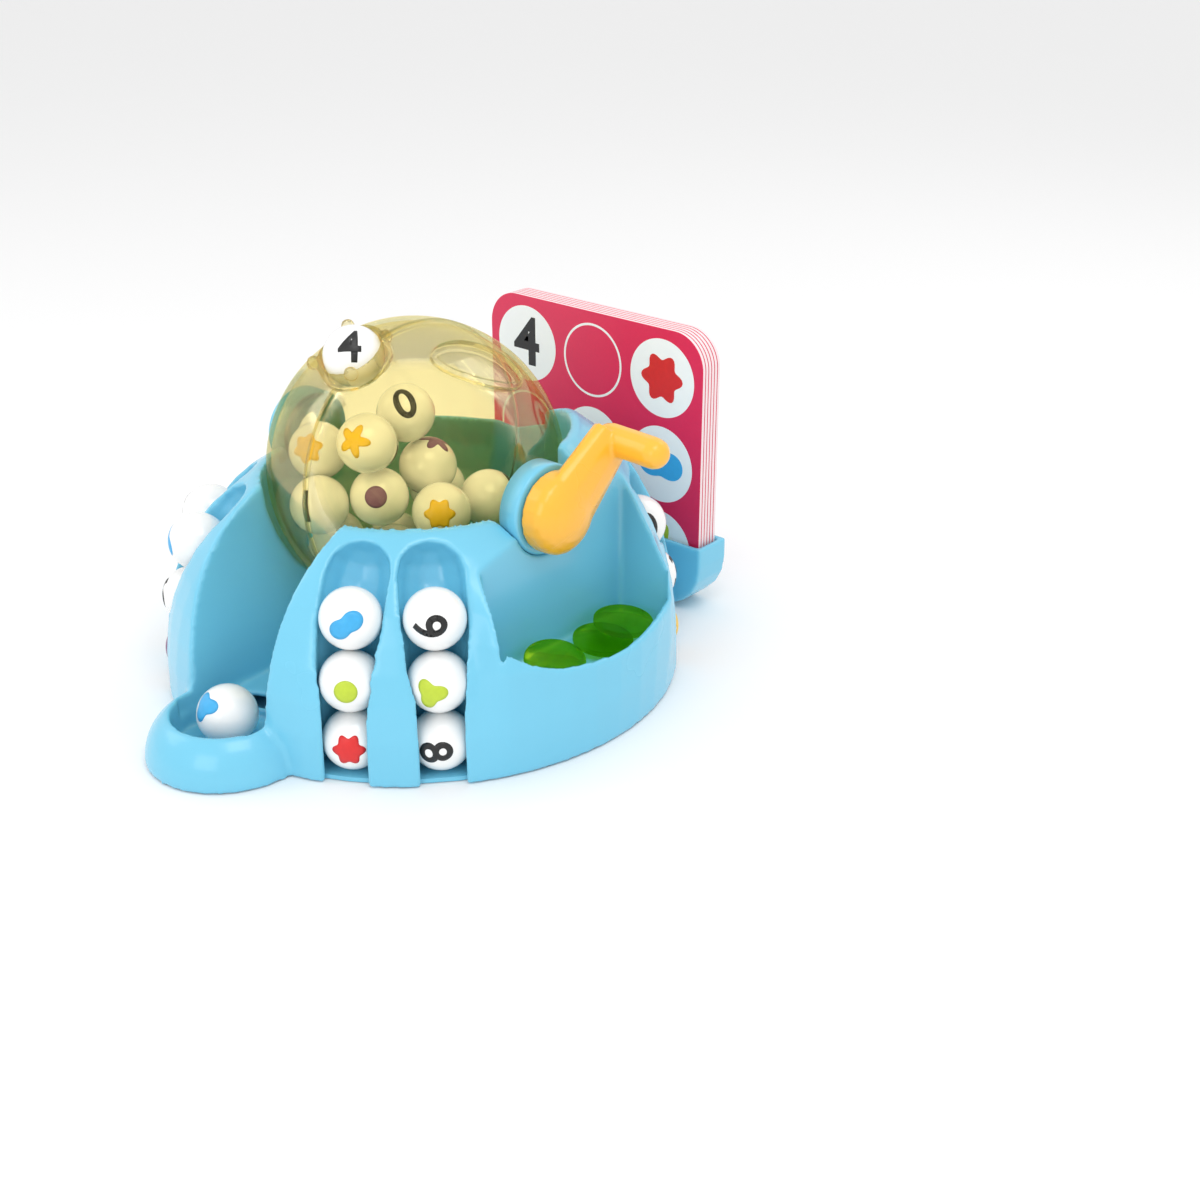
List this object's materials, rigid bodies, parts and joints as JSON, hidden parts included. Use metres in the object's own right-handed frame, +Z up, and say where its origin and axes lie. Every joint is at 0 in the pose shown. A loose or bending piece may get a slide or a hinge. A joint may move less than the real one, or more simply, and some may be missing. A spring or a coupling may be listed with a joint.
{
  "type": "tabletop bingo cage",
  "caption": "Tabletop bingo cage: a clear drum of printed balls turned by a side crank over a domed base with ball columns, a tray, a token pocket and a card rack.",
  "frame": {"origin": "on the ground under the centre of the drum, on the underside of the bottom cover", "axes": "+X along the drum axle towards the crank, -Y towards the tray, +Y towards the card rack, +Z up"},
  "size_m": [0.2515, 0.3051, 0.1768],
  "materials": {
    "base_blue": "satin moulded plastic",
    "drum_yellow": "clear tinted plastic",
    "crank_orange": "satin moulded plastic",
    "ball_white": "smooth and printed",
    "token_green": "clear tinted plastic",
    "card_print": "printed board",
    "screw_steel": "plated"
  },
  "bodies": {
    "base": {"base_shell": "base_blue", "bottom_cover": "base_blue", "cover_screw_1": "screw_steel", "cover_screw_2": "screw_steel", "cover_screw_3": "screw_steel", "cover_screw_4": "screw_steel", "card_rack": "base_blue", "rack_screw_left": "screw_steel", "rack_screw_right": "screw_steel", "bearing_collar_left": "base_blue", "bearing_collar_right": "base_blue", "ball_right_1_low": "ball_white", "ball_right_1_middle": "ball_white", "ball_right_2_low": "ball_white", "ball_right_2_middle": "ball_white", "ball_right_3_low": "ball_white", "ball_right_3_middle": "ball_white", "ball_left_1_low": "ball_white", "ball_left_1_middle": "ball_white", "ball_left_2_low": "ball_white", "ball_left_2_middle": "ball_white", "ball_left_3_low": "ball_white", "ball_left_3_middle": "ball_white"},
    "drum": {"drum_half_left": "drum_yellow", "drum_half_right": "drum_yellow", "ball_gate": "drum_yellow", "crank": "crank_orange", "loading_hatch": "drum_yellow", "ball_in_gate": "ball_white"},
    "tray_ball": {"ball_in_tray": "ball_white"},
    "ball_pile": {"drum_ball_01": "ball_white", "drum_ball_02": "ball_white", "drum_ball_03": "ball_white", "drum_ball_04": "ball_white", "drum_ball_05": "ball_white", "drum_ball_06": "ball_white", "drum_ball_07": "ball_white", "drum_ball_08": "ball_white", "drum_ball_09": "ball_white", "drum_ball_10": "ball_white", "drum_ball_11": "ball_white", "drum_ball_12": "ball_white", "drum_ball_13": "ball_white"},
    "tokens": {"token_1": "token_green", "token_2": "token_green", "token_3": "token_green"},
    "top_ball_right_1": {"ball_right_1_top": "ball_white"},
    "top_ball_right_2": {"ball_right_2_top": "ball_white"},
    "top_ball_right_3": {"ball_right_3_top": "ball_white"},
    "top_ball_left_1": {"ball_left_1_top": "ball_white"},
    "top_ball_left_2": {"ball_left_2_top": "ball_white"},
    "top_ball_left_3": {"ball_left_3_top": "ball_white"},
    "playing_card_1": {"card_1": "card_print"},
    "playing_card_2": {"card_2": "card_print"},
    "playing_card_3": {"card_3": "card_print"},
    "playing_card_4": {"card_4": "card_print"},
    "playing_card_5": {"card_5": "card_print"},
    "playing_card_6": {"card_6": "card_print"}
  },
  "joints": [
    {"name": "drum_spin", "type": "hinge", "parent": "base", "child": "drum", "pos_m": [0, 0, 0.101], "axis": [1, 0, 0], "continuous": true},
    {"name": "pile_rock", "type": "hinge", "parent": "base", "child": "ball_pile", "pos_m": [0, 0, 0.101], "axis": [1, 0, 0], "range_deg": [-25, 25]},
    {"name": "tray_ball_lift", "type": "slide", "parent": "base", "child": "tray_ball", "axis": [0, 0, 1], "range_m": [0, 0.05]},
    {"name": "tokens_lift", "type": "slide", "parent": "base", "child": "tokens", "axis": [0, 0, 1], "range_m": [0, 0.015]},
    {"name": "ball_out_right_1", "type": "slide", "parent": "base", "child": "top_ball_right_1", "axis": [0.3493, -0.6148, 0.7071], "range_m": [0, 0.035]},
    {"name": "ball_out_right_2", "type": "slide", "parent": "base", "child": "top_ball_right_2", "axis": [0.5369, -0.4602, 0.7071], "range_m": [0, 0.035]},
    {"name": "ball_out_right_3", "type": "slide", "parent": "base", "child": "top_ball_right_3", "axis": [0.5337, 0.4639, 0.7071], "range_m": [0, 0.035]},
    {"name": "ball_out_left_1", "type": "slide", "parent": "base", "child": "top_ball_left_1", "axis": [-0.4353, -0.5572, 0.7071], "range_m": [0, 0.035]},
    {"name": "ball_out_left_2", "type": "slide", "parent": "base", "child": "top_ball_left_2", "axis": [-0.5964, -0.3799, 0.7071], "range_m": [0, 0.035]},
    {"name": "ball_out_left_3", "type": "slide", "parent": "base", "child": "top_ball_left_3", "axis": [-0.5337, 0.4639, 0.7071], "range_m": [0, 0.035]},
    {"name": "card_lift_1", "type": "slide", "parent": "base", "child": "playing_card_1", "axis": [0, 0, 1], "range_m": [0, 0.12]},
    {"name": "card_lift_2", "type": "slide", "parent": "base", "child": "playing_card_2", "axis": [0, 0, 1], "range_m": [0, 0.12]},
    {"name": "card_lift_3", "type": "slide", "parent": "base", "child": "playing_card_3", "axis": [0, 0, 1], "range_m": [0, 0.12]},
    {"name": "card_lift_4", "type": "slide", "parent": "base", "child": "playing_card_4", "axis": [0, 0, 1], "range_m": [0, 0.12]},
    {"name": "card_lift_5", "type": "slide", "parent": "base", "child": "playing_card_5", "axis": [0, 0, 1], "range_m": [0, 0.12]},
    {"name": "card_lift_6", "type": "slide", "parent": "base", "child": "playing_card_6", "axis": [0, 0, 1], "range_m": [0, 0.12]}
  ]
}
